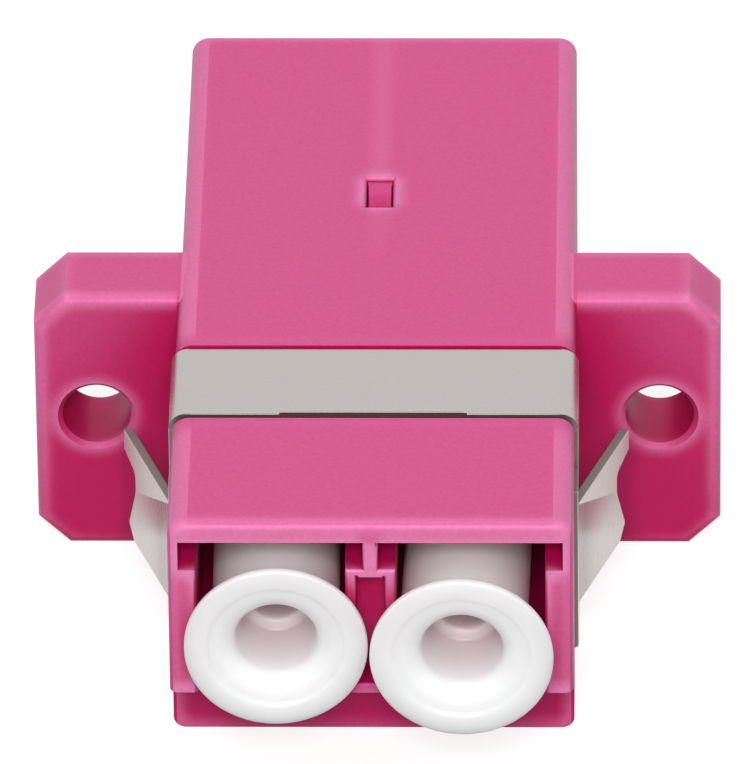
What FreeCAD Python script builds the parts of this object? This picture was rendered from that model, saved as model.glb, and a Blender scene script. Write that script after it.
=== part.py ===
"""Duplex LC fibre adapter with a flanged panel body, its panel clip and its dust caps.

Frame: X runs across the two ports, Y from the front ports to the rear ports, Z up.
The origin is on the flange face that meets the panel, midway between the two fixing holes.
Sizes are in millimetres and live in the sheet; every sketch and feature is bound to it.
"""
import FreeCAD, Part
import math
import os
import re
import Sketcher

SIZES = {
    # flange, the plate that stops against the panel
    "flange_width": 21.9,
    "flange_top": 4.5,
    "flange_thickness": 2.9,
    "flange_corner": 1.0,
    "flange_edge_round": 0.3,
    "hole_pitch": 18.0,
    "hole_diameter": 2.2,
    "hole_lead_in": 0.15,
    # body block, measured from the flange face
    "body_width": 12.66,
    "rear_width": 12.54,
    "body_top": 4.65,
    "body_base": -4.95,
    "front_length": 13.1,
    "rear_length": 15.5,
    "top_round": 0.55,
    "base_round": 0.4,
    "end_round": 0.28,
    "chin_depth": 2.8,
    # ports: a square bore for the plug, with a wider latch channel along its roof
    "port_pitch": 6.25,
    "port_width": 4.66,
    "port_axis": 0.65,
    "port_floor": -1.7,
    "latch_ledge": 2.92,
    "port_roof": 3.96,
    "channel_width": 5.77,
    "channel_entry": 1.6,
    "latch_shoulder": 1.0,
    "channel_depth": 4.7,
    # the divider between the front ports is cored out so that it does not sink
    "slot_width": 0.9,
    "slot_top": 2.67,
    "slot_base": -1.35,
    "slot_depth": 1.0,
    # middle web and the two halves of each sleeve tube
    "mating_plane": 1.2,
    "web_thickness": 0.8,
    "tube_diameter": 2.7,
    "tube_length": 3.9,
    "tube_lip": 0.45,
    "tube_mouth_radius": 1.16,
    "tube_mouth_taper": 43.0,
    "sleeve_bore": 1.72,
    "sleeve_outside": 1.62,
    "sleeve_inside": 1.25,
    "sleeve_length": 6.8,
    "sleeve_slit": 0.3,
    # grooves in the body that hold the clip
    "groove_front": 7.1,
    "groove_rear": 2.95,
    "groove_depth": 0.42,
    "cheek_front": 8.35,
    "cheek_top": 2.75,
    "cheek_depth": 0.18,
    "foot_recess": 0.38,
    # underside core-outs, left and right of a middle rib
    "core_rib": 1.0,
    "core_outer": 4.6,
    "core_depth": 2.2,
    "core_front_start": 9.4,
    "core_front_end": 1.0,
    "core_rear_start": 4.0,
    "core_rear_end": 14.2,
    # window in the top wall for the snap lug of the sleeve retainer
    "window_width": 0.86,
    "window_start": 5.2,
    "window_length": 1.7,
    "window_rim": 0.14,
    # sleeve retainer, pushed in from the rear
    "retainer_gap": 0.04,
    "retainer_web": 1.0,
    "retainer_setback": 0.3,
    "lug_start": 5.28,
    "lug_length": 1.57,
    "lug_top": 4.52,
    # panel clip, one stamping
    "steel": 0.28,
    "strip_front": 6.78,
    "strip_rear": 3.05,
    "strip_drop": 0.07,
    "bend_inside": 0.27,
    "side_proud": 0.12,
    "spine_front": 8.2,
    "spine_top": 2.6,
    "spine_base": -3.3,
    "wing_root": 7.0,
    "wing_top": 1.32,
    "wing_height": 3.75,
    "wing_gap": 0.1,
    "wing_tip_x": 8.03,
    "wing_tip_y": 2.75,
    "finger_height": 0.7,
    "notch_length": 1.0,
    "notch_top": 1.0,
    "notch_base": 1.75,
    "heel_length": 0.33,
    "heel_height": 0.45,
    "heel_run": 0.75,
    "wing_corner_round": 0.25,
    "relief_width": 5.9,
    "relief_depth": 0.12,
    "foot_reach": 5.1,
    "foot_front": 6.0,
    "foot_rear": 4.0,
    "foot_lift": 0.05,
    # dust caps, soft plugs with a flared, dished head
    "cap_length": 13.2,
    "rim_radius": 2.87,
    "rim_edge": 0.26,
    "ring_inside": 2.22,
    "flare_depth": 1.0,
    "shaft_radius": 2.0,
    "lip_radius": 1.55,
    "lip_depth": 0.2,
    "mouth_depth": 0.55,
    "mouth_radius": 1.28,
    "step_depth": 2.9,
    "step_radius": 0.87,
    "blind_depth": 5.2,
    "grip_start": 7.5,
    "grip_radius": 1.44,
    # how far each rim stands off the port face, and how far a head sits off its port's middle
    "seated_gap": 0.95,
    "left_cap_gap": 1.0,
    "right_cap_gap": 1.57,
    "left_cap_shift": 0.17,
    "right_cap_shift": -0.28,
}

PARTS_FOLDER = "parts"

document = FreeCAD.newDocument("lc_adapter")
sizes = document.addObject("Spreadsheet::Sheet", "sizes")
for row, (alias, value) in enumerate(SIZES.items(), start=1):
    sizes.set(f"A{row}", alias)
    sizes.set(f"B{row}", str(value))
    sizes.setAlias(f"B{row}", alias)
document.recompute()

# each origin plane: its normal's sign along the frame axis that it faces
NORMAL_SIGN = {"XY_Plane": 1, "YZ_Plane": 1, "XZ_Plane": -1}


def bound(formula):
    """Turns a formula in the sheet's words into an expression that other objects can read."""
    return re.sub(r"[a-z_]{3,}", lambda word: "sizes." + word.group(), formula)


def measure(formula):
    """The present value of a formula in the sheet's words."""
    return float(sizes.evalExpression(formula))


def new_body(label):
    body = document.addObject("PartDesign::Body", label)
    body.Label = label
    return body


def new_sketch(body, role, name, level):
    """An empty sketch parallel to one of the body's own origin planes, at a level along its axis."""
    plane = next(feature for feature in body.Origin.OriginFeatures if feature.Role == role)
    sketch = body.newObject("Sketcher::SketchObject", name)
    sketch.AttachmentSupport = [(plane, "")]
    sketch.MapMode = "FlatFace"
    sign = NORMAL_SIGN[role]
    sketch.setExpression("AttachmentOffset.Base.z", f"{sign} * ({bound(level)})")
    return sketch


def pin_point(sketch, edge, place, across, up):
    """Fixes one point of a sketch edge at sheet formulas for its two coordinates."""
    for kind, axis, formula in (("DistanceX", -2, across), ("DistanceY", -1, up)):
        if formula == "0":
            sketch.addConstraint(Sketcher.Constraint("PointOnObject", edge, place, axis))
            continue
        value = measure(formula)
        index = sketch.addConstraint(Sketcher.Constraint(kind, -1, 1, edge, place, value))
        sketch.setExpression(f"Constraints[{index}]", bound(formula))


def add_polygon(sketch, corners):
    """A closed straight-sided outline through corners given as pairs of sheet formulas."""
    points = [FreeCAD.Vector(measure(across), measure(up), 0) for across, up in corners]
    first = sketch.GeometryCount
    count = len(points)
    for index in range(count):
        line = Part.LineSegment(points[index], points[(index + 1) % count])
        sketch.addGeometry(line, False)
    for index in range(count):
        following = first + (index + 1) % count
        sketch.addConstraint(Sketcher.Constraint("Coincident", first + index, 2, following, 1))
    for index, (across, up) in enumerate(corners):
        pin_point(sketch, first + index, 1, across, up)


def box_corners(left, right, low, high):
    return [(left, low), (right, low), (right, high), (left, high)]


def add_circle(sketch, across, up, radius):
    """A circle with its centre and radius given as sheet formulas."""
    centre = FreeCAD.Vector(measure(across), measure(up), 0)
    normal = FreeCAD.Vector(0, 0, 1)
    edge = sketch.addGeometry(Part.Circle(centre, normal, measure(radius)), False)
    pin_point(sketch, edge, 3, across, up)
    index = sketch.addConstraint(Sketcher.Constraint("Radius", edge, measure(radius)))
    sketch.setExpression(f"Constraints[{index}]", bound(radius))


def add_rounded_box(sketch, left, right, low, high, low_round, high_round):
    """A box outline with one radius at its two low corners and another at its two high ones."""
    x0, x1, z0, z1 = (measure(formula) for formula in (left, right, low, high))
    a, b = measure(low_round), measure(high_round)
    corners = [((x1 - a, z0 + a), a, -90), ((x1 - b, z1 - b), b, 0),
               ((x0 + b, z1 - b), b, 90), ((x0 + a, z0 + a), a, 180)]
    runs = [((x0 + a, z0), (x1 - a, z0)), ((x1, z0 + a), (x1, z1 - b)),
            ((x1 - b, z1), (x0 + b, z1)), ((x0, z1 - b), (x0, z0 + a))]
    sides = [(0, "Horizontal", "DistanceY", low), (2, "Vertical", "DistanceX", right),
             (4, "Horizontal", "DistanceY", high), (6, "Vertical", "DistanceX", left)]
    normal = FreeCAD.Vector(0, 0, 1)
    for (begin, end), (centre, radius, angle) in zip(runs, corners):
        sketch.addGeometry(Part.LineSegment(FreeCAD.Vector(*begin, 0), FreeCAD.Vector(*end, 0)), False)
        circle = Part.Circle(FreeCAD.Vector(*centre, 0), normal, radius)
        arc = Part.ArcOfCircle(circle, math.radians(angle), math.radians(angle + 90))
        sketch.addGeometry(arc, False)
    for index in range(8):
        sketch.addConstraint(Sketcher.Constraint("Tangent", index, 2, (index + 1) % 8, 1))
    for line, direction, distance, formula in sides:
        sketch.addConstraint(Sketcher.Constraint(direction, line))
        index = sketch.addConstraint(Sketcher.Constraint(distance, -1, 1, line, 1, measure(formula)))
        sketch.setExpression(f"Constraints[{index}]", bound(formula))
    for arc, formula in ((1, low_round), (3, high_round), (5, high_round), (7, low_round)):
        index = sketch.addConstraint(Sketcher.Constraint("Radius", arc, measure(formula)))
        sketch.setExpression(f"Constraints[{index}]", bound(formula))


def extrude(body, kind, role, name, start, end, polygons=(), circles=(), rounded=()):
    """Pads or pockets a sketch from one level to another along the plane's frame axis."""
    sketch = new_sketch(body, role, name + "_sketch", start)
    for corners in polygons:
        add_polygon(sketch, corners)
    for circle in circles:
        add_circle(sketch, *circle)
    for outline in rounded:
        add_rounded_box(sketch, *outline)
    before = body.Shape.Volume if body.Tip else 0.0
    feature = body.newObject("PartDesign::" + kind, name)
    feature.Profile = sketch
    rises = measure(end) > measure(start)
    low, high = (start, end) if rises else (end, start)
    feature.setExpression("Length", bound(f"({high}) - ({low})"))
    along_normal = rises == (NORMAL_SIGN[role] > 0)
    feature.Reversed = along_normal if kind == "Pocket" else not along_normal
    document.recompute()
    change = body.Shape.Volume - before
    if (change < 0) != (kind == "Pocket") or abs(change) < 1e-6:
        raise RuntimeError(f"{name} changed the volume by {change:.6f}")
    return feature


def narrow(feature, angle):
    """Lets a pocket grow narrower as it goes deeper, by a slope in degrees."""
    feature.setExpression("TaperAngle", f"-{bound(angle)} * 1 deg")
    document.recompute()


def finish_edges(body, kind, name, size, wanted):
    """Fillets or chamfers the edges of the body's present shape that the test picks."""
    base = body.Tip
    names = [f"Edge{index}" for index, edge in enumerate(base.Shape.Edges, start=1) if wanted(edge)]
    if not names:
        raise RuntimeError(f"{name} found no edges")
    feature = body.newObject("PartDesign::" + kind, name)
    feature.Base = (base, names)
    size_property = "Radius" if kind == "Fillet" else "Size"
    feature.setExpression(size_property, bound(size))
    document.recompute()
    return feature


def lies_at(edge, axis, level):
    """True where a whole edge lies at one level along X, Y or Z (0, 1 or 2)."""
    box = edge.BoundBox
    low = (box.XMin, box.YMin, box.ZMin)[axis]
    high = (box.XMax, box.YMax, box.ZMax)[axis]
    return abs(low - level) < 1e-4 and abs(high - level) < 1e-4


def is_round(edge, radius):
    """True for a circle or arc of the radius that the formula gives."""
    return edge.Curve.TypeId == "Part::GeomCircle" and abs(edge.Curve.Radius - measure(radius)) < 1e-6


def runs_along_x(edge, along, level):
    """True for a straight edge along X at one place along Y and at one height."""
    return lies_at(edge, 1, along) and lies_at(edge, 2, level)


def runs_along_y(edge, distance, level):
    """True for a straight edge along Y at one distance to either side and at one height."""
    box = edge.BoundBox
    straight = box.XLength < 1e-6 and box.ZLength < 1e-6
    return straight and abs(abs(box.Center.x) - distance) < 1e-4 and abs(box.Center.z - level) < 1e-4


def both_sides(left, right, low, high):
    """A box outline on the right and its mirror image on the left."""
    corners = box_corners(left, right, low, high)
    return [corners, mirrored(corners)]


def mirrored(corners):
    return [(f"-({across})", up) for across, up in corners]


def both_ports(half_width, low, high):
    """The same box outline at both ports."""
    middle = "port_pitch / 2"
    return both_sides(f"{middle} - ({half_width})", f"{middle} + ({half_width})", low, high)


def port_circles(radius):
    return [("port_pitch / 2", "port_axis", radius), ("-port_pitch / 2", "port_axis", radius)]


def build_housing():
    """One moulding: flange, body block, front ports and the seats for clip and retainer."""
    body = new_body("housing")
    half, low, high, cut = "flange_width / 2", "body_base", "flange_top", "flange_corner"
    flange_outline = [
        (f"-{half} + {cut}", low), (f"{half} - {cut}", low),
        (half, f"{low} + {cut}"), (half, f"{high} - {cut}"),
        (f"{half} - {cut}", high), (f"-{half} + {cut}", high),
        (f"-{half}", f"{high} - {cut}"), (f"-{half}", f"{low} + {cut}"),
    ]
    extrude(body, "Pad", "XZ_Plane", "flange", "0", "flange_thickness", [flange_outline])
    thickness = measure("flange_thickness")
    finish_edges(body, "Fillet", "flange_rounds", "flange_edge_round",
                 lambda edge: lies_at(edge, 1, 0) or lies_at(edge, 1, thickness))
    holes = [("hole_pitch / 2", "0", "hole_diameter / 2"),
             ("-hole_pitch / 2", "0", "hole_diameter / 2")]
    extrude(body, "Pocket", "XZ_Plane", "fixing_holes", "0", "flange_thickness", circles=holes)
    finish_edges(body, "Chamfer", "hole_lead_ins", "hole_lead_in",
                 lambda edge: is_round(edge, "hole_diameter / 2") and edge.BoundBox.YLength < 1e-6)

    side, rear_side = "body_width / 2", "rear_width / 2"
    extrude(body, "Pad", "XZ_Plane", "front_block", "-front_length", "flange_thickness / 2",
            rounded=[(f"-{side}", side, "body_base", "body_top", "base_round", "top_round")])
    extrude(body, "Pad", "XZ_Plane", "rear_block", "flange_thickness / 2", "rear_length",
            rounded=[(f"-{rear_side}", rear_side, "body_base", "body_top", "base_round", "top_round")])
    front, rear = -measure("front_length"), measure("rear_length")
    finish_edges(body, "Fillet", "end_rounds", "end_round",
                 lambda edge: lies_at(edge, 1, front) or lies_at(edge, 1, rear))

    extrude(body, "Pocket", "XZ_Plane", "chin_step",
            "-front_length - 1", "-front_length + chin_depth",
            [box_corners(f"-{side} - 1", f"{side} + 1", "body_base - 1", "port_floor")])
    inner = "mating_plane - web_thickness"
    extrude(body, "Pocket", "XZ_Plane", "front_bores", "-front_length - 1", inner,
            both_ports("port_width / 2", "port_floor", "port_roof"))
    extrude(body, "Pocket", "XZ_Plane", "front_channels",
            "-front_length - 1", "-front_length + channel_entry",
            both_ports("channel_width / 2", "latch_ledge", "port_roof"))
    seat_start = "-front_length + channel_entry + latch_shoulder"
    extrude(body, "Pocket", "XZ_Plane", "front_latch_seats",
            seat_start, "-front_length + channel_depth",
            both_ports("channel_width / 2", "latch_ledge", "port_roof"))
    extrude(body, "Pocket", "XZ_Plane", "divider_slot",
            "-front_length - 1", "-front_length + slot_depth",
            [box_corners("-slot_width / 2", "slot_width / 2", "slot_base", "slot_top")])

    reach = "(port_pitch + port_width) / 2"
    channel_reach = "(port_pitch + channel_width) / 2"
    extrude(body, "Pocket", "XZ_Plane", "rear_bore", "mating_plane", "rear_length + 1",
            [box_corners(f"-{reach}", reach, "port_floor", "port_roof")])
    extrude(body, "Pocket", "XZ_Plane", "rear_channels",
            "rear_length - channel_entry", "rear_length + 1",
            [box_corners(f"-{channel_reach}", channel_reach, "latch_ledge", "port_roof")])
    extrude(body, "Pocket", "XZ_Plane", "rear_latch_seats", "rear_length - channel_depth",
            "rear_length - channel_entry - latch_shoulder",
            [box_corners(f"-{channel_reach}", channel_reach, "latch_ledge", "port_roof")])

    extrude(body, "Pad", "XZ_Plane", "front_tubes", "mating_plane - tube_length", inner,
            circles=port_circles("tube_diameter / 2"))
    extrude(body, "Pocket", "XZ_Plane", "sleeve_seats", "mating_plane - tube_length + tube_lip",
            "mating_plane + 1", circles=port_circles("sleeve_bore / 2"))
    mouths = extrude(body, "Pocket", "XZ_Plane", "tube_mouths", "mating_plane - tube_length",
                     "mating_plane - tube_length + tube_lip", circles=port_circles("tube_mouth_radius"))
    narrow(mouths, "tube_mouth_taper")

    clip_floor = "body_top - groove_depth"
    extrude(body, "Pocket", "XZ_Plane", "strip_groove", "-groove_front", "-groove_rear",
            [box_corners(f"-{side} - 1", f"{side} + 1", clip_floor, "body_top + 1")])
    cheek = f"{side} - cheek_depth"
    extrude(body, "Pocket", "XZ_Plane", "cheek_grooves", "-groove_front", "-groove_rear",
            both_sides(cheek, f"{side} + 1", "body_base - 1", f"{clip_floor} + 0.1"))
    corner_x, corner_z = measure(cheek), measure(clip_floor)
    finish_edges(body, "Fillet", "groove_corners", "bend_inside + 0.05",
                 lambda edge: runs_along_y(edge, corner_x, corner_z))
    extrude(body, "Pocket", "XZ_Plane", "spine_grooves", "-cheek_front", "-groove_front",
            both_sides(cheek, f"{side} + 1", "body_base - 1", "cheek_top"))
    extrude(body, "Pocket", "XZ_Plane", "foot_recesses",
            "-foot_front - wing_gap", "-foot_rear + wing_gap",
            both_sides("foot_reach - wing_gap", f"{side} + 1",
                       "body_base - 1", "body_base + foot_recess"))
    for name, start, end in (("front_cores", "-core_front_start", "-core_front_end"),
                             ("rear_cores", "core_rear_start", "core_rear_end")):
        extrude(body, "Pocket", "XZ_Plane", name, start, end,
                both_sides("core_rib / 2", "core_outer", "body_base - 1", "body_base + core_depth"))
    window = box_corners("-window_width / 2", "window_width / 2", "window_start",
                         "window_start + window_length")
    extrude(body, "Pocket", "XY_Plane", "lug_window", "port_roof - 0.1", "body_top + 1", [window])
    roof, window_start = measure("body_top"), measure("window_start")
    finish_edges(body, "Fillet", "window_rim_round", "window_rim",
                 lambda edge: lies_at(edge, 2, roof) and edge.BoundBox.YMin > window_start - 0.01
                 and edge.BoundBox.XMax < 1 and edge.BoundBox.XMin > -1)
    return body


def build_sleeve_retainer():
    """The insert that closes the middle web and carries the rear tubes, divider and snap lug."""
    body = new_body("sleeve_retainer")
    web_reach = "(port_pitch + port_width) / 2 - retainer_gap"
    low, high = "port_floor + retainer_gap", "port_roof - retainer_gap"
    web_start = "mating_plane + retainer_gap"
    web_end = "mating_plane + retainer_web"
    rear = "rear_length - retainer_setback"
    thick = "(port_pitch - port_width) / 2"
    thin = "(port_pitch - channel_width) / 2"
    extrude(body, "Pad", "XZ_Plane", "web", web_start, web_end,
            [box_corners(f"-({web_reach})", web_reach, low, high)])
    extrude(body, "Pad", "XZ_Plane", "tubes", web_end, "mating_plane + tube_length",
            circles=port_circles("tube_diameter / 2"))
    extrude(body, "Pad", "XZ_Plane", "divider", web_end, rear,
            [box_corners(f"-{thick}", thick, low, high)])
    for name, start, end in (("channel_sides", "rear_length - channel_entry", "rear_length"),
                             ("latch_seats", "rear_length - channel_depth",
                              "rear_length - channel_entry - latch_shoulder")):
        extrude(body, "Pocket", "XZ_Plane", name, start, end,
                both_sides(thin, f"{thick} + 1", "latch_ledge", "body_top"))
    lug_end = "lug_start + lug_length"
    lug_outline = [("lug_start", f"{high} - 0.5"), (lug_end, f"{high} - 0.5"), (lug_end, "lug_top"),
                   (f"{lug_end} - 0.2", "lug_top"), ("lug_start", high)]
    lug_half = "window_width / 2 - retainer_gap"
    extrude(body, "Pad", "YZ_Plane", "snap_lug", f"-({lug_half})", lug_half, [lug_outline])
    extrude(body, "Pocket", "XZ_Plane", "sleeve_seats_rear", "mating_plane - 1",
            "mating_plane + tube_length - tube_lip", circles=port_circles("sleeve_bore / 2"))
    mouths = extrude(body, "Pocket", "XZ_Plane", "tube_mouths_rear", "mating_plane + tube_length",
                     "mating_plane + tube_length - tube_lip", circles=port_circles("tube_mouth_radius"))
    narrow(mouths, "tube_mouth_taper")
    return body


def build_split_sleeve(label, side):
    """A thin ceramic tube slit along its length, which grips both ferrules."""
    body = new_body(label)
    half = "sleeve_length / 2"
    extrude(body, "Pad", "XZ_Plane", label + "_wall", f"-{half}", half,
            circles=[("0", "0", "sleeve_outside / 2"), ("0", "0", "sleeve_inside / 2")])
    extrude(body, "Pocket", "XZ_Plane", label + "_slit", f"-{half} - 1", f"{half} + 1",
            [box_corners("-sleeve_slit / 2", "sleeve_slit / 2", "0", "sleeve_outside")])
    body.Placement.Base = FreeCAD.Vector(side * measure("port_pitch / 2"), measure("mating_plane"),
                                         measure("port_axis"))
    return body


def build_panel_clip():
    """Spring steel folded over the body: strip, two side plates, sprung wings and feet."""
    body = new_body("panel_clip")
    outer = "body_width / 2 + side_proud"
    inner = f"{outer} - steel"
    top = "body_top - strip_drop"
    under = f"{top} - steel"
    base = "body_base + foot_lift"
    foot = f"{base} + steel"
    right_half = [(inner, under), (inner, foot), ("foot_reach", foot), ("foot_reach", base),
                  (outer, base), (outer, top)]
    hoop = right_half + mirrored(reversed(right_half))
    extrude(body, "Pad", "XZ_Plane", "hoop", "-spine_front", "-strip_rear", [hoop])
    inside_x, outside_x, base_level = measure(inner), measure(outer), measure(base)
    finish_edges(body, "Fillet", "inside_bends", "bend_inside",
                 lambda edge: runs_along_y(edge, inside_x, measure(under)))
    finish_edges(body, "Fillet", "outside_bends", "bend_inside + steel",
                 lambda edge: runs_along_y(edge, outside_x, measure(top)))
    finish_edges(body, "Fillet", "foot_bends", "steel",
                 lambda edge: runs_along_y(edge, outside_x, base_level))

    far = "wing_tip_x + 1"
    extrude(body, "Pocket", "XZ_Plane", "strip_edge", "-spine_front - 1", "-strip_front",
            [box_corners(f"-({far})", far, "spine_top", "body_top + 1")])
    extrude(body, "Pocket", "XZ_Plane", "spine_foot", "-spine_front - 1", "-foot_front",
            [box_corners(f"-({far})", far, "body_base - 1", "spine_base")])
    extrude(body, "Pocket", "XZ_Plane", "foot_end", "-foot_rear", "-strip_rear + 1",
            [box_corners(f"-({far})", far, "body_base - 1", "spine_base")])
    extrude(body, "Pocket", "XZ_Plane", "strip_relief",
            "-strip_front - 1", "-strip_front + relief_depth",
            [box_corners("-relief_width / 2", "relief_width / 2", f"{under} - 0.5", "body_top + 1")])
    wing_base = "wing_top - wing_height"
    extrude(body, "Pocket", "XZ_Plane", "wing_openings", "-wing_root", "-strip_rear + 1",
            [box_corners(f"-({far})", far, f"{wing_base} - wing_gap", "wing_top + wing_gap")])

    spread = f"(wing_tip_x - ({outer})) / (wing_root - wing_tip_y)"
    wing = [(inner, "-wing_root - 0.3"), (outer, "-wing_root - 0.3"), (outer, "-wing_root"),
            ("wing_tip_x", "-wing_tip_y"), ("wing_tip_x - steel", f"-wing_tip_y + steel * {spread}"),
            (inner, f"-wing_root + steel * {spread}")]
    for side, corners in (("right", wing), ("left", mirrored(wing))):
        extrude(body, "Pad", "XY_Plane", side + "_wing", wing_base, "wing_top", [corners])
    tip, clear = "-wing_tip_y", "-wing_tip_y + 1"
    free_end = [(clear, "wing_top - finger_height"), (tip, "wing_top - finger_height"),
                (f"{tip} - notch_length", "wing_top - notch_top"),
                (f"{tip} - notch_length", "wing_top - notch_base"),
                (f"{tip} - heel_length", f"{wing_base} + heel_height"),
                (f"{tip} - heel_run", f"{wing_base} - 0.01"), (clear, f"{wing_base} - 0.01")]
    extrude(body, "Pocket", "YZ_Plane", "wing_ends", f"-({far})", far, [free_end])
    corners = [(measure(along), measure(up)) for along, up in free_end[2:5]]
    corners.append((measure(f"{tip} - heel_run"), measure(wing_base)))
    finish_edges(body, "Fillet", "wing_corners", "wing_corner_round",
                 lambda edge: any(runs_along_x(edge, along, up) for along, up in corners))
    return body


def build_dust_cap(label, side, facing, stand_off, shift):
    """A soft plug: a flared, dished head on a round shaft that slips over the sleeve tube.

    The shaft points from the head to the tip of the sleeve tube, so a shifted head leans a little.
    """
    body = new_body(label)
    sketch = new_sketch(body, "XY_Plane", label + "_section", "0")
    section = [
        ("ring_inside", "0"), ("rim_radius", "0"), ("rim_radius", "rim_edge"),
        ("shaft_radius", "flare_depth"), ("shaft_radius", "cap_length"),
        ("grip_radius", "cap_length"), ("grip_radius", "grip_start"), ("0", "grip_start"),
        ("0", "blind_depth"), ("step_radius", "blind_depth"), ("step_radius", "step_depth"),
        ("mouth_radius", "step_depth"), ("mouth_radius", "mouth_depth"), ("lip_radius", "lip_depth"),
    ]
    add_polygon(sketch, section)
    turn = body.newObject("PartDesign::Revolution", label + "_turn")
    turn.Profile = sketch
    turn.ReferenceAxis = (sketch, ["V_Axis"])
    turn.Angle = 360
    document.recompute()

    port_x = side * measure("port_pitch / 2")
    face_y = measure("rear_length") if facing > 0 else -measure("front_length")
    level = measure("port_axis")
    head = FreeCAD.Vector(port_x + measure(shift), face_y + facing * measure(stand_off), level)
    tube_end = measure("mating_plane") + facing * measure("tube_length")
    tube_tip = FreeCAD.Vector(port_x, tube_end, level)
    body.Placement = FreeCAD.Placement(head, FreeCAD.Rotation(FreeCAD.Vector(0, 1, 0), tube_tip - head))
    return body


def check_document():
    """Stops if any feature failed or any sub-part has no sound solid."""
    for feature in document.Objects:
        if {"Invalid", "Error"} & set(feature.State):
            raise RuntimeError(f"{feature.Name} is {feature.State}")
    for body in sub_parts:
        if body.Shape.isNull() or not body.Shape.isValid() or len(body.Shape.Solids) != 1:
            raise RuntimeError(f"{body.Label} has no sound solid")


sub_parts = [build_housing(), build_sleeve_retainer(), build_panel_clip()]
for name, side in (("left", -1), ("right", 1)):
    sub_parts.append(build_split_sleeve("split_sleeve_" + name, side))
    sub_parts.append(build_dust_cap("dust_cap_rear_" + name, side, 1, "seated_gap", "0"))
sub_parts.append(build_dust_cap("dust_cap_front_left", -1, -1, "left_cap_gap", "left_cap_shift"))
sub_parts.append(build_dust_cap("dust_cap_front_right", 1, -1, "right_cap_gap", "right_cap_shift"))
document.recompute()
check_document()

os.makedirs(PARTS_FOLDER, exist_ok=True)
for body in sub_parts:
    body.Shape.exportStep(os.path.join(PARTS_FOLDER, body.Label + ".step"))
    print(f"{body.Label}: {body.Shape.Volume:.2f} cubic millimetres")
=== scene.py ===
"""Duplex LC fibre adapter: the finish of its mouldings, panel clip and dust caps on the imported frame.

X runs across the two ports, Y from the front ports to the rear ports and Z up, in metres. The
origin is on the flange face that meets the panel, midway between the two fixing holes.
"""

import math

import bmesh
import bpy
import numpy as np
from mathutils import Matrix, Vector


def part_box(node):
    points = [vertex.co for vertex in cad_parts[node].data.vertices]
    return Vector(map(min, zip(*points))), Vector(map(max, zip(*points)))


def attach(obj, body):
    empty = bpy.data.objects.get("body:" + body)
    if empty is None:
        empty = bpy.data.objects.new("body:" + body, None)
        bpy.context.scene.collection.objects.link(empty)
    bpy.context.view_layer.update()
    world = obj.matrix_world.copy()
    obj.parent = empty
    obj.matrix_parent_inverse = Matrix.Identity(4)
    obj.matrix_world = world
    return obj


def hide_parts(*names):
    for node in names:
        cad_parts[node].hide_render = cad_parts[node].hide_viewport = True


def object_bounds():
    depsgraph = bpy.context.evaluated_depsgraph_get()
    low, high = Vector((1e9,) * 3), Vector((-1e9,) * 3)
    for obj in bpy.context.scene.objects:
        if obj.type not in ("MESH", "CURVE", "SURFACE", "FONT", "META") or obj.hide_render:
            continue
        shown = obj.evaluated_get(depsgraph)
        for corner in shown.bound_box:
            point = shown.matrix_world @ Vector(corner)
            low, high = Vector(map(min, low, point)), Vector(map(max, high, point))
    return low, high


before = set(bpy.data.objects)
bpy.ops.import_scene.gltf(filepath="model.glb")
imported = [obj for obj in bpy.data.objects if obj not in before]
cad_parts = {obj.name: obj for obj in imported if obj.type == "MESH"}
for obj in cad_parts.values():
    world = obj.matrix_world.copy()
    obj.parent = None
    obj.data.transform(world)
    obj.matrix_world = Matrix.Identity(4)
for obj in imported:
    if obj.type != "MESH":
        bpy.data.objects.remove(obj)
cad_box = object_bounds()

# ---- Housing -------------------------------------------------------------------------------
# One injection moulding in magenta PBT: flange, body block and front ports. The mould is
# polished by hand and lightly vapour blasted, so flat faces are satin and every edge is a
# little soft. Material over the divider has sunk slightly while it cooled.

MM = 0.001

# What counts as a plain corner that a polished mould softens, and how much room its round needs.
sharp_corner = math.radians(50)
shortest_corner = 0.25 * MM
downward = -0.7
same_line = 0.003 * MM
room_share = 0.45
least_share = 0.3


def corner_weights(work, corner_round, is_plain):
    """How much of the full round each edge of a mesh can take, 0 to 1. Only plain outer corners are
    rounded, and not those of a face that looks down. The round is at most room_share of the
    distance from the edge to the nearest vertex off its line, so that two never meet."""
    places = np.array([vertex.co for vertex in work.verts])
    weights = np.zeros(len(work.edges))
    for index, edge in enumerate(work.edges):
        start, end = (np.array(vertex.co) for vertex in edge.verts)
        length = np.linalg.norm(end - start)
        if length < shortest_corner or not edge.is_manifold or not is_plain(start, end):
            continue
        lowest = min(face.normal.z for face in edge.link_faces)
        if lowest < downward or edge.calc_face_angle_signed() < sharp_corner:
            continue
        along = (places - start) @ (end - start) / length ** 2
        off_line = np.linalg.norm(places - start - along[:, None] * (end - start), axis=1)
        feet = start + along.clip(0, 1)[:, None] * (end - start)
        gaps = np.linalg.norm(places - feet, axis=1)[off_line > same_line]
        weight = min(1.0, room_share * gaps.min() / corner_round)
        weights[index] = weight if weight > least_share else 0.0
    return weights


# Cosines of the angle between two faces: above the first they lie in one plane, and above the
# second the corner between them is shaded smooth.
flat_turn = 0.99999
smooth_turn = math.cos(math.radians(35))


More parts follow.
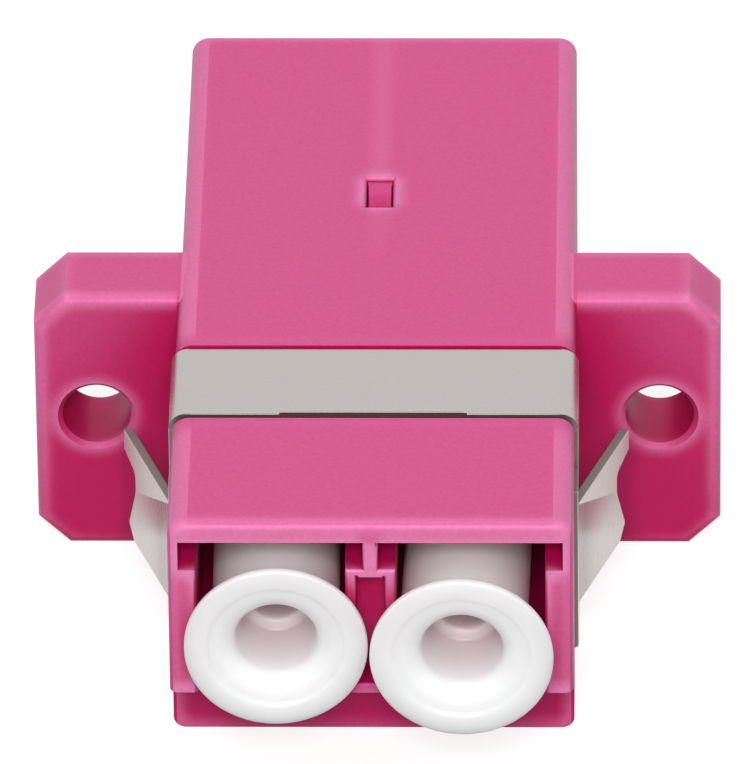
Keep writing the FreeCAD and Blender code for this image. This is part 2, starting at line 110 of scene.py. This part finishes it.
def set_corner_normals(mesh):
    """Shades a mesh as its true surface. Touching faces in one plane count as one region, and the
    normal at a face's corner is the mean, by area, of the regions round that vertex that turn less
    than 35 degrees from the face. So a flat face stays flat up to the round at its edge."""
    work = bmesh.new()
    work.from_mesh(mesh)
    work.faces.ensure_lookup_table()
    region = np.full(len(work.faces), -1)
    regions = []
    for first in work.faces:
        if region[first.index] >= 0:
            continue
        region[first.index] = len(regions)
        queue = [first]
        total = Vector()
        while queue:
            face = queue.pop()
            total += face.normal * face.calc_area()
            for edge in face.edges:
                for other in edge.link_faces:
                    if region[other.index] < 0 and face.normal.dot(other.normal) > flat_turn:
                        region[other.index] = len(regions)
                        queue.append(other)
        regions.append(total)
    normals = []
    for face in work.faces:
        for corner in face.loops:
            near = {region[other.index] for other in corner.vert.link_faces
                    if other.normal.dot(face.normal) > smooth_turn}
            total = sum((regions[index] for index in near), Vector())
            normals.append(total.normalized() if total.length > 0 else face.normal.copy())
    work.free()
    mesh.shade_smooth()
    mesh.normals_split_custom_set(normals)


weld_distance = 0.0005 * MM


def rounded_copy(node, name, corner_round, is_plain, materials):
    """A copy of a CAD node with its loose triangles joined up and its plain outer corners rounded,
    in the materials given. It stands for the node."""
    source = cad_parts[node]
    mesh = source.data.copy()
    work = bmesh.new()
    work.from_mesh(mesh)
    work.transform(source.matrix_world)
    bmesh.ops.remove_doubles(work, verts=work.verts, dist=weld_distance)
    layer = work.edges.layers.float.new("bevel_weight_edge")
    for edge, weight in zip(work.edges, corner_weights(work, corner_round, is_plain)):
        edge[layer] = weight
    work.to_mesh(mesh)
    work.free()
    blank = bpy.data.objects.new(name + "_blank", mesh)
    bpy.context.scene.collection.objects.link(blank)
    rounding = blank.modifiers.new("corner_rounds", "BEVEL")
    rounding.width = corner_round
    rounding.segments = 3
    rounding.limit_method = "WEIGHT"
    rounding.use_clamp_overlap = False
    evaluated = blank.evaluated_get(bpy.context.evaluated_depsgraph_get())
    finished = bpy.data.meshes.new_from_object(evaluated)
    finished.name = name
    bpy.data.objects.remove(blank)
    set_corner_normals(finished)
    finished.materials.clear()
    for material in materials:
        finished.materials.append(material)
    piece = bpy.data.objects.new(name, finished)
    bpy.context.scene.collection.objects.link(piece)
    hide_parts(node)
    return piece


def from_hex(text):
    """A colour written as sRGB hex, turned to the linear values that shaders use."""
    parts = np.array([int(text[index:index + 2], 16) for index in (1, 3, 5)]) / 255
    linear = np.where(parts <= 0.04045, parts / 12.92, ((parts + 0.055) / 1.055) ** 2.4)
    return (*linear.tolist(), 1.0)


def add(tree, kind, settings=(), links=()):
    """Adds one node. A setting is for a socket if the node has one of that name, else a property;
    a link runs from an output of another node to a socket of this one."""
    node = tree.nodes.new("ShaderNode" + kind)
    for name, value in dict(settings).items():
        if isinstance(name, int) or name in node.inputs:
            node.inputs[name].default_value = value
        else:
            setattr(node, name, value)
    for name, output in dict(links).items():
        tree.links.new(output, node.inputs[name])
    return node


def new_material(name):
    """An empty material with its output node and the Object coordinates of the piece."""
    material = bpy.data.materials.new(name)
    material.use_nodes = True
    tree = material.node_tree
    tree.nodes.clear()
    output = add(tree, "OutputMaterial")
    place = add(tree, "TexCoord").outputs["Object"]
    return material, tree, output, place


# Painted highlight along corners, where the satin skin catches the lamps. It fades out over corner_reach,
# which stays below the 0.69 mm top wall of the ports. Each "half" is the half width of a band round its
# middle.
shelter_reach = 8 * MM
corner_reach = 0.62 * MM
side_wall, side_wall_half = 6.3 * MM, 0.07 * MM
long_round, long_round_half = 5.98 * MM, 0.28 * MM
long_round_low, long_round_high = 3.9 * MM, 4.4 * MM
long_round_highlight = 0.5
clip_middle = -5.03 * MM
clip_cover, clip_fade = 2.1 * MM, 3.2 * MM


def corner_highlight(tree, axes, off_centre, openness):
    """How strong the painted highlight is at corners, 0 to 1: full at a corner, and only where the part
    lies open, so recesses keep their painted shade. The long rounds on top get an even painted
    highlight, and none is painted beside the clip, which leaves painted shade there."""
    inside = add(tree, "AmbientOcclusion", {"inside": True, "only_local": True, "samples": 12,
                                            "Distance": corner_reach})
    # Under a flat face nearly all short rays stay in the plastic, and at a square corner about half.
    highlight = add(tree, "MapRange", {"From Min": 0.97, "From Max": 0.55}, {"Value": inside.outputs["AO"]})
    # The side walls are only 0.3 mm thick beside the latch channels, and would read as corners.
    on_side = add(tree, "Math", {"operation": "COMPARE", 1: side_wall, 2: side_wall_half},
                  {0: off_centre})
    off_side = add(tree, "Math", {"operation": "SUBTRACT", 0: 1.0}, {1: on_side.outputs[0]})
    highlight = add(tree, "Math", {"operation": "MULTIPLY"}, {0: highlight.outputs["Result"], 1: off_side.outputs[0]})
    # The painted highlight shows only where at least a third of the view from a corner is open; deeper in,
    # painted shade stays.
    in_open = add(tree, "MapRange", {"From Min": 0.3, "From Max": 0.6}, {"Value": openness})
    highlight = add(tree, "Math", {"operation": "MULTIPLY"}, {0: highlight.outputs[0], 1: in_open.outputs["Result"]})
    # Painted highlight along the long rounds on top, for the light they catch from the sides.
    on_round = add(tree, "Math", {"operation": "COMPARE", 1: long_round, 2: long_round_half},
                   {0: off_centre})
    near_top = add(tree, "MapRange", {"From Min": long_round_low, "From Max": long_round_high,
                                      "To Max": long_round_highlight}, {"Value": axes["Z"]})
    lit_round = add(tree, "Math", {"operation": "MULTIPLY"},
                       {0: on_round.outputs[0], 1: near_top.outputs["Result"]})
    highlight = add(tree, "Math", {"operation": "MAXIMUM"}, {0: highlight.outputs[0], 1: lit_round.outputs[0]})
    # Beside the clip no highlight is painted, which leaves painted shade there.
    from_clip = add(tree, "Math", {"operation": "SUBTRACT", 1: clip_middle}, {0: axes["Y"]})
    from_clip = add(tree, "Math", {"operation": "ABSOLUTE"}, {0: from_clip.outputs[0]})
    past_clip = add(tree, "MapRange", {"interpolation_type": "SMOOTHSTEP", "From Min": clip_cover,
                                       "From Max": clip_fade}, {"Value": from_clip.outputs[0]})
    highlight = add(tree, "Math", {"operation": "MULTIPLY"}, {0: highlight.outputs[0], 1: past_clip.outputs["Result"]})
    return highlight.outputs[0]


# The sink over the divider: a faint pale stripe of painted sheen along the top that deepens towards the
# rear.
sink_half_width = 0.6 * MM
sink_low, sink_high = 4.55 * MM, 4.6 * MM
sink_start, sink_full = 1 * MM, 8 * MM
sink_sheen_share = 0.22


def sink_sheen(tree, axes, off_centre):
    """How much painted sheen shows on the sunk stripe on the top, 0 to sink_sheen_share."""
    across = add(tree, "MapRange", {"interpolation_type": "SMOOTHSTEP", "From Max": sink_half_width,
                                    "To Min": 1.0, "To Max": 0.0}, {"Value": off_centre})
    on_top = add(tree, "MapRange", {"From Min": sink_low, "From Max": sink_high}, {"Value": axes["Z"]})
    rearward = add(tree, "MapRange", {"From Min": sink_start, "From Max": sink_full,
                                      "To Max": sink_sheen_share}, {"Value": axes["Y"]})
    sink = add(tree, "Math", {"operation": "MULTIPLY"},
               {0: across.outputs["Result"], 1: on_top.outputs["Result"]})
    sink = add(tree, "Math", {"operation": "MULTIPLY"}, {0: sink.outputs[0], 1: rearward.outputs["Result"]})
    return sink.outputs[0]


# Vapour blasting leaves grains of about 0.05 mm, drawn coarser so that they show.
blasting_grain = 0.14 * MM
blasting_depth = 0.008 * MM
grain_contrast = 0.12
flow_length = 6 * MM


def moulded_pbt(name, painted_shade, painted_sheen, painted_highlight):
    """PBT moulded in a vapour-blasted steel tool: satin, finely speckled and evenly dyed. Light and shade
    are painted into its colour: painted shade where the part shelters itself, painted sheen where it lies
    open, a painted highlight along the corners and a faint painted sheen on the sunk stripe. Its reflections
    lean a little towards violet."""
    material, tree, output, place = new_material(name)
    axes = add(tree, "SeparateXYZ", (), {0: place}).outputs
    off_centre = add(tree, "Math", {"operation": "ABSOLUTE"}, {0: axes["X"]}).outputs[0]
    # Painted shade and sheen: the colour is deep where the surroundings close in, and paler where the part
    # lies open.
    openness = add(tree, "AmbientOcclusion", {"samples": 12, "Distance": shelter_reach}).outputs["AO"]
    sheen_share = add(tree, "MapRange", {"From Min": 0.6, "From Max": 1.0}, {"Value": openness})
    shade_to_sheen = add(tree, "Mix", {"data_type": "RGBA", 6: from_hex(painted_shade), 7: from_hex(painted_sheen)},
                 {0: sheen_share.outputs["Result"]})
    # Painted highlight along the corners, in the pale corner colour.
    highlighted = add(tree, "Mix", {"data_type": "RGBA", 7: from_hex(painted_highlight)},
               {0: corner_highlight(tree, axes, off_centre, openness), 6: shade_to_sheen.outputs[2]})
    grain = add(tree, "TexNoise", {"Scale": 1 / blasting_grain, "Detail": 3.0, "Roughness": 0.6},
                {"Vector": place})
    speckle = add(tree, "MapRange", {"From Min": 0.3, "From Max": 0.7, "To Min": 1 - grain_contrast / 2,
                                     "To Max": 1 + grain_contrast / 2}, {"Value": grain.outputs["Fac"]})
    speckled = add(tree, "VectorMath", {"operation": "SCALE"},
                   {0: highlighted.outputs[2], "Scale": speckle.outputs["Result"]})
    # Painted sheen on the sunk stripe over the divider.
    tone = add(tree, "Mix", {"data_type": "RGBA", 7: from_hex(painted_highlight)},
               {0: sink_sheen(tree, axes, off_centre), 6: speckled.outputs[0]})
    bump = add(tree, "Bump", {"Strength": 0.5, "Distance": blasting_depth}, {"Height": grain.outputs["Fac"]})
    flow = add(tree, "TexNoise", {"Scale": 1 / flow_length, "Detail": 2.0}, {"Vector": place})
    gloss = add(tree, "MapRange", {"To Min": 0.4, "To Max": 0.48}, {"Value": flow.outputs["Fac"]})
    plastic = add(tree, "BsdfPrincipled", {"IOR": 1.46, "Specular Tint": from_hex("#F3CDFF")},
                  {"Base Color": tone.outputs[2], "Normal": bump.outputs["Normal"],
                   "Roughness": gloss.outputs["Result"]})
    tree.links.new(plastic.outputs["BSDF"], output.inputs["Surface"])
    return material


block_rounds_inner = 5.7 * MM
block_rounds_outer = 6.6 * MM


def clear_of_block_rounds(start, end):
    """True unless an edge ends in the large rounds along the outside of the body block."""
    reach = max(abs(start[0]), abs(end[0]))
    return reach < block_rounds_inner or reach > block_rounds_outer


# The housing's colours carry painted shade, painted sheen and a painted highlight at the corners.
housing_pbt = moulded_pbt("moulded_magenta_pbt", painted_shade="#B30C50", painted_sheen="#CC4C84",
                          painted_highlight="#E080AE")
housing = rounded_copy("housing", "housing_moulding", corner_round=0.09 * MM,
                       is_plain=clear_of_block_rounds, materials=[housing_pbt])
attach(housing, "adapter")

# ---- Sleeve retainer and ceramic sleeves ---------------------------------------------------
# The retainer is a second moulding in the same PBT, pushed in from the rear until its lug snaps
# into the window. Its colours are painted deeper, as painted shade, since it sits back inside the
# window. The sleeves are ground zirconia, slit so that they grip the ferrules.

# Deeper colours for painted shade inside the window.
retainer_pbt = moulded_pbt("shaded_magenta_pbt", painted_shade="#A80A4A", painted_sheen="#B82464",
                         painted_highlight="#C04078")
retainer = rounded_copy("sleeve_retainer", "retainer_moulding", corner_round=0.06 * MM,
                        is_plain=clear_of_block_rounds, materials=[retainer_pbt])
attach(retainer, "adapter")

# Zirconia, ground and polished: cream white and glossy, with faint cloudy patches in the gloss.
polish_patches = 0.2 * MM

zirconia, tree, output, place = new_material("ground_zirconia")
patches = add(tree, "TexNoise", {"Scale": 1 / polish_patches, "Detail": 2.0}, {"Vector": place})
polish = add(tree, "MapRange", {"To Min": 0.12, "To Max": 0.2}, {"Value": patches.outputs["Fac"]})
ceramic = add(tree, "BsdfPrincipled", {"Base Color": from_hex("#EFECE4"), "IOR": 2.1},
              {"Roughness": polish.outputs["Result"]})
tree.links.new(ceramic.outputs["BSDF"], output.inputs["Surface"])
for side in ("left", "right"):
    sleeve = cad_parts["split_sleeve_" + side]
    sleeve.data.materials.clear()
    sleeve.data.materials.append(zirconia)

# ---- Panel clip ----------------------------------------------------------------------------
# Stamped and folded from rolled stainless spring strip 0.28 mm thick. The faces keep the fine
# matt grain of the rolls, and the wings are lanced out of the side plates.

# Rolled stainless: pale warm grey, its highlights drawn out by the lines of the rolls, which
# run across the adapter. They are really about 0.01 mm wide, and drawn coarser so that they show.
roll_line = 0.05 * MM
roll_stretch = 20

rolled, tree, output, place = new_material("rolled_spring_steel")
stretch = add(tree, "Mapping", {"Scale": (1 / roll_line / roll_stretch, 1 / roll_line,
                                          1 / roll_line / roll_stretch)}, {"Vector": place})
lines = add(tree, "TexNoise", {"Scale": 1.0, "Detail": 3.0}, {"Vector": stretch.outputs["Vector"]})
matt = add(tree, "MapRange", {"To Min": 0.22, "To Max": 0.34}, {"Value": lines.outputs["Fac"]})
relief = add(tree, "Bump", {"Strength": 0.15, "Distance": 0.002 * MM}, {"Height": lines.outputs["Fac"]})
steel = add(tree, "BsdfPrincipled", {"Base Color": from_hex("#BDB8B5"), "Metallic": 1.0},
            {"Roughness": matt.outputs["Result"], "Normal": relief.outputs["Normal"]})
tree.links.new(steel.outputs["BSDF"], output.inputs["Surface"])

# The same steel where the punch sheared it: torn and rough, and its darker grey is painted shade for the
# dark walls that these faces reflect.
tear = 0.05 * MM

sheared, tree, output, place = new_material("sheared_spring_steel")
tears = add(tree, "TexNoise", {"Scale": 1 / tear, "Detail": 3.0}, {"Vector": place})
torn_shaded = add(tree, "Mix", {"data_type": "RGBA", 6: from_hex("#77726F"), 7: from_hex("#948F8C")},
           {0: tears.outputs["Fac"]})
relief = add(tree, "Bump", {"Strength": 0.4, "Distance": 0.006 * MM}, {"Height": tears.outputs["Fac"]})
steel = add(tree, "BsdfPrincipled", {"Metallic": 1.0, "Roughness": 0.5},
            {"Base Color": torn_shaded.outputs[2], "Normal": relief.outputs["Normal"]})
tree.links.new(steel.outputs["BSDF"], output.inputs["Surface"])

clip = rounded_copy("panel_clip", "panel_clip_stamping", corner_round=0.025 * MM,
                    is_plain=lambda start, end: True, materials=[rolled, sheared])

# Rolled faces are those that look sideways, and the bridge over the top with its bends. All the
# others are sheared.
bridge_reach = 6.46 * MM
bridge_base = 4 * MM
count = len(clip.data.polygons)
normals = np.empty(count * 3)
middles = np.empty(count * 3)
clip.data.polygons.foreach_get("normal", normals)
clip.data.polygons.foreach_get("center", middles)
facing = np.abs(normals.reshape(-1, 3))
middle = np.abs(middles.reshape(-1, 3))
looks_sideways = facing[:, 0] > 0.5
looks_up = (facing[:, 2] > 0.5) & (facing[:, 1] < 0.1)
on_bridge = (middle[:, 0] < bridge_reach) & (middle[:, 2] > bridge_base)
is_rolled = looks_sideways | (looks_up & on_bridge)
clip.data.polygons.foreach_set("material_index", np.where(is_rolled, 0, 1).astype(np.int32))
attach(clip, "adapter")

# ---- Dust caps -----------------------------------------------------------------------------
# Four soft plugs moulded in white low-density polyethylene. Each has a flared, dished head with a
# stepped blind hole, and a hollow round shaft that grips the tube of the sleeve inside the port.

# Low-density polyethylene, moulded: waxy and milky, since light spreads about a millimetre inside
# it. Down the hole the white is painted a faint warm grey, as painted shade that deepens with depth.
wax_ripple = 1.2 * MM
light_spread = 1.2 * MM

polyethylene, tree, output, place = new_material("moulded_white_polyethylene")
ripple = add(tree, "TexNoise", {"Scale": 1 / wax_ripple, "Detail": 2.0}, {"Vector": place})
wax = add(tree, "MapRange", {"To Min": 0.32, "To Max": 0.42}, {"Value": ripple.outputs["Fac"]})
swell = add(tree, "Bump", {"Strength": 0.2, "Distance": 0.02 * MM}, {"Height": ripple.outputs["Fac"]})
bore_shade = add(tree, "Attribute", {"attribute_name": "painted_bore_shade"})
tone = add(tree, "Mix", {"data_type": "RGBA", 6: from_hex("#FAF7F8"), 7: from_hex("#D9C9CD")},
           {0: bore_shade.outputs["Fac"]})
soft = add(tree, "BsdfPrincipled",
           {"IOR": 1.51, "Subsurface Weight": 1.0, "Subsurface Radius": (1.0, 0.9, 0.9),
            "Subsurface Scale": light_spread},
           {"Base Color": tone.outputs[2], "Roughness": wax.outputs["Result"],
            "Normal": swell.outputs["Normal"]})
tree.links.new(soft.outputs["BSDF"], output.inputs["Surface"])

cap_corners = np.array([  # distance from the axis, depth behind the rim, corner radius
    (0.00, 5.20, 0.00),  # floor of the hole
    (0.87, 5.20, 0.20),
    (0.87, 2.92, 0.15),  # step in the hole
    (1.26, 2.86, 0.15),
    (1.28, 0.48, 0.60),  # mouth of the hole
    (1.75, 0.15, 0.40),  # dish of the head
    (2.10, 0.11, 0.15),
    (2.22, 0.02, 0.15),
    (2.87, 0.00, 0.07),  # rim
    (2.87, 0.26, 0.10),
    (2.00, 1.00, 0.30),  # foot of the flare
    (2.00, 12.9, 0.10),  # end of the shaft
    (1.90, 13.2, 0.05),
    (1.44, 13.2, 0.05),  # bore that grips the tube
    (1.44, 7.50, 0.10),
    (0.00, 7.50, 0.00),
]) * MM


def round_corners(corners, steps=5, side_share=0.48):
    """An outline whose corners are replaced by arcs. Each arc starts and ends at the same distance
    from its corner, radius times the tangent of half the turn but at most side_share of the shorter
    side, and is drawn as a quadratic curve between the two, which is near to a circle's arc."""
    points = corners[:, :2]
    radii = corners[:, 2]
    arrive = points[1:-1] - points[:-2]
    leave = points[2:] - points[1:-1]
    arrive_length = np.linalg.norm(arrive, axis=1)
    leave_length = np.linalg.norm(leave, axis=1)
    arrive = arrive / arrive_length[:, None]
    leave = leave / leave_length[:, None]
    turn = np.arccos(np.clip((arrive * leave).sum(axis=1), -1, 1))
    back = radii[1:-1] * np.tan(turn / 2)
    back = np.minimum(back, side_share * np.minimum(arrive_length, leave_length))[:, None, None]
    t = np.linspace(0, 1, steps)[None, :, None]
    corner = points[1:-1, None, :]
    start = corner - back * arrive[:, None, :]
    end = corner + back * leave[:, None, :]
    arcs = (1 - t) ** 2 * start + 2 * t * (1 - t) * corner + t ** 2 * end
    return np.concatenate([points[:1], arcs.reshape(-1, 2), points[-1:]])


# The hole gets painted shade by its depth, from shade_start to the full tone at shade_end.
hole_radius, hole_end = 1.29 * MM, 5.21 * MM
shade_start, shade_end = 0.5 * MM, 2.7 * MM


def turned_mesh(name, outline, start, axis, sides=96):
    """An outline of (radius, depth) pairs turned once round an axis: point = start + depth * axis
    + radius * (cos(angle) * across + sin(angle) * upward). Its two ends lie on the axis and close
    in one point each, the first at the floor of the hole and the last inside the shaft."""
    radius, depth = outline[1:-1].T
    angle = np.arange(sides) / sides * 2 * math.pi
    upward = np.array((0.0, 0.0, 1.0))
    across = np.cross(upward, axis)
    ring = np.cos(angle)[:, None] * across + np.sin(angle)[:, None] * upward
    grid = start + depth[:, None, None] * axis + radius[:, None, None] * ring[None]
    poles = start + outline[[0, -1], 1][:, None] * axis
    rows = len(radius)
    one = np.arange(sides)
    other = (one + 1) % sides
    row_starts = np.arange(rows - 1)[:, None] * sides
    near = row_starts + one[None]
    far = row_starts + other[None]
    faces = np.stack([near, far, far + sides, near + sides], axis=-1).reshape(-1, 4)
    floor_fan = np.stack([other, one, np.full(sides, rows * sides)], axis=-1)
    last_row = (rows - 1) * sides
    end_fan = np.stack([one + last_row, other + last_row, np.full(sides, rows * sides + 1)], axis=-1)
    mesh = bpy.data.meshes.new(name)
    mesh.from_pydata(np.concatenate([grid.reshape(-1, 3), poles]).tolist(), [],
                     faces.tolist() + floor_fan.tolist() + end_fan.tolist())
    mesh.shade_smooth()
    # Painted shade down the hole, deepening with depth, kept on the points for the material.
    in_hole = (radius < hole_radius) & (depth < hole_end)
    shade = np.where(in_hole, ((depth - shade_start) / (shade_end - shade_start)).clip(0, 1), 0.0)
    values = np.append(np.repeat(shade, sides), (1.0, 0.0))
    mesh.attributes.new("painted_bore_shade", "FLOAT", "POINT").data.foreach_set("value", values.astype(np.float32))
    return mesh


cap_seats = {  # how far each head sits off its port's middle and stands off the port face
    "front_left": (0.17 * MM, 1.0 * MM),
    "front_right": (-0.28 * MM, 1.57 * MM),
    "rear_left": (0.0, 0.95 * MM),
    "rear_right": (0.0, 0.95 * MM),
}
tube_length = 3.9 * MM
cap_outline = round_corners(cap_corners)
housing_low, housing_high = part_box("housing")
for seat, (shift, stand_off) in cap_seats.items():
    end, side = seat.split("_")
    sleeve_low, sleeve_high = (np.array(corner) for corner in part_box("split_sleeve_" + side))
    port = (sleeve_low + sleeve_high) / 2
    outward = 1 if end == "rear" else -1
    face = housing_high[1] if end == "rear" else housing_low[1]
    head = np.array((port[0] + shift, face + outward * stand_off, port[2]))
    tube_tip = port + np.array((0, outward * tube_length, 0))
    axis = (tube_tip - head) / np.linalg.norm(tube_tip - head)
    mesh = turned_mesh(f"{seat}_dust_cap", cap_outline, head, axis)
    mesh.materials.append(polyethylene)
    cap = bpy.data.objects.new(f"{seat}_dust_cap", mesh)
    bpy.context.scene.collection.objects.link(cap)
    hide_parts(f"dust_cap_{end}_{side}")
    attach(cap, f"{seat}_cap")

# ---- Floor, light and camera ---------------------------------------------------------------
# A white table under a broad soft light from above, with a smaller one from the front. The table
# and the room round it look white to the camera, but throw less light on the adapter.

floor_level = cad_box[0][2]
floor_reach = 1.5
table_glow = 0.78
room_light = 0.3


def seen_directly(tree):
    """1 for a ray that the camera, a reflection or a clear body sends out, and 0 for the others."""
    rays = add(tree, "LightPath").outputs
    seen = add(tree, "Math", {"operation": "MAXIMUM"}, {0: rays["Is Camera Ray"], 1: rays["Is Glossy Ray"]})
    seen = add(tree, "Math", {"operation": "MAXIMUM"}, {0: seen.outputs[0], 1: rays["Is Transmission Ray"]})
    return seen.outputs[0]


# Matt white laminate: a plain diffuse grey that is lifted to white for the eye alone.
laminate, tree, output, place = new_material("white_table")
lift = add(tree, "Math", {"operation": "MULTIPLY", 1: table_glow}, {0: seen_directly(tree)})
matt = add(tree, "BsdfDiffuse", {"Color": from_hex("#9A9A9A")})
glow = add(tree, "Emission", {"Color": (1, 1, 1, 1)}, {"Strength": lift.outputs[0]})
both = add(tree, "AddShader", (), {0: matt.outputs[0], 1: glow.outputs[0]})
tree.links.new(both.outputs[0], output.inputs["Surface"])

corners = [(x * floor_reach, y * floor_reach, floor_level) for x, y in ((-1, -1), (1, -1), (1, 1), (-1, 1))]
floor_mesh = bpy.data.meshes.new("table_top")
floor_mesh.from_pydata(corners, [], [(0, 1, 2, 3)])
floor_mesh.materials.append(laminate)
floor = bpy.data.objects.new("table_top", floor_mesh)
bpy.context.scene.collection.objects.link(floor)

world = bpy.data.worlds.new("studio")
bpy.context.scene.world = world
world.use_nodes = True
tree = world.node_tree
tree.nodes.clear()
level = add(tree, "MapRange", {"To Min": room_light, "To Max": 1.0}, {"Value": seen_directly(tree)})
room = add(tree, "Background", {"Color": (1, 1, 1, 1)}, {"Strength": level.outputs["Result"]})
add(tree, "OutputWorld", (), {"Surface": room.outputs[0]})


def add_lamp(name, place, size, power):
    """A square area lamp that faces the adapter."""
    light = bpy.data.lights.new(name, "AREA")
    light.size = size
    light.energy = power
    lamp = bpy.data.objects.new(name, light)
    lamp.location = place
    lamp.rotation_euler = (-Vector(place)).to_track_quat("-Z", "Y").to_euler()
    bpy.context.scene.collection.objects.link(lamp)


add_lamp("ceiling_light", (0.0, 0.0, 0.6), 0.8, 1.6)
add_lamp("front_light", (0.0, -0.55, 0.41), 0.2, 3.6)

# The camera looks down on the front ports from straight ahead, a shade off square and level.
elevation = math.radians(33.439)
turn = math.radians(-1.336)
roll = math.radians(-0.683)
distance = 509.7 * MM
aim = Vector((-0.038 * MM, 0, 1.316 * MM))
ahead = Vector((math.sin(turn) * math.cos(elevation), math.cos(turn) * math.cos(elevation),
                -math.sin(elevation)))
across = Vector((math.cos(turn), -math.sin(turn), 0))
upward = across.cross(ahead)
right = across * math.cos(roll) + upward * math.sin(roll)
up = upward * math.cos(roll) - across * math.sin(roll)
facing = Matrix((right, up, -ahead)).transposed().to_4x4()
lens = bpy.data.cameras.new("camera")
lens.lens = 752.3
lens.sensor_width = 36
camera = bpy.data.objects.new("camera", lens)
camera.matrix_world = Matrix.Translation(aim - ahead * distance) @ facing
bpy.context.scene.collection.objects.link(camera)
bpy.context.scene.camera = camera
bpy.context.scene.view_settings.view_transform = "Standard"
